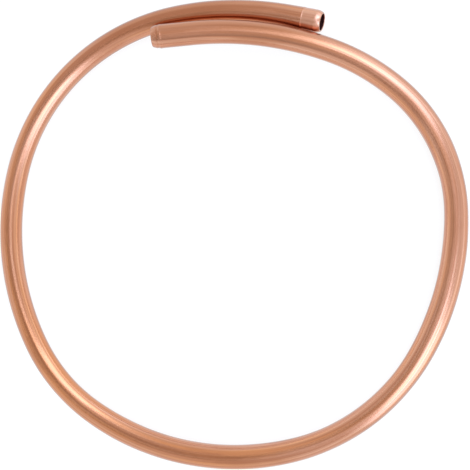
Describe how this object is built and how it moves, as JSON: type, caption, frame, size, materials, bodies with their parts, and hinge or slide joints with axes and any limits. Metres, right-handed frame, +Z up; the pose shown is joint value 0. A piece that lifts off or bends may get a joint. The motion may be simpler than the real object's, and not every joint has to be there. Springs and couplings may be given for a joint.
{
  "type": "copper tube coil",
  "caption": "Soft copper tube bent by hand into one open round, its plain cut ends overlapping with the inner end lifted over the outer one; stock for plumbing, gas or cooling lines.",
  "frame": {"origin": "on the floor, in the middle of the coil's outline seen from above", "axes": "+Z up, square to the plane of the coil; the two ends overlap on the +Y side, the outer end points towards +X and the inner end towards -X"},
  "size_m": [0.305, 0.3008, 0.0308],
  "materials": {
    "copper": "satin"
  },
  "bodies": {
    "root": {"copper_tube": "copper"}
  },
  "joints": []
}
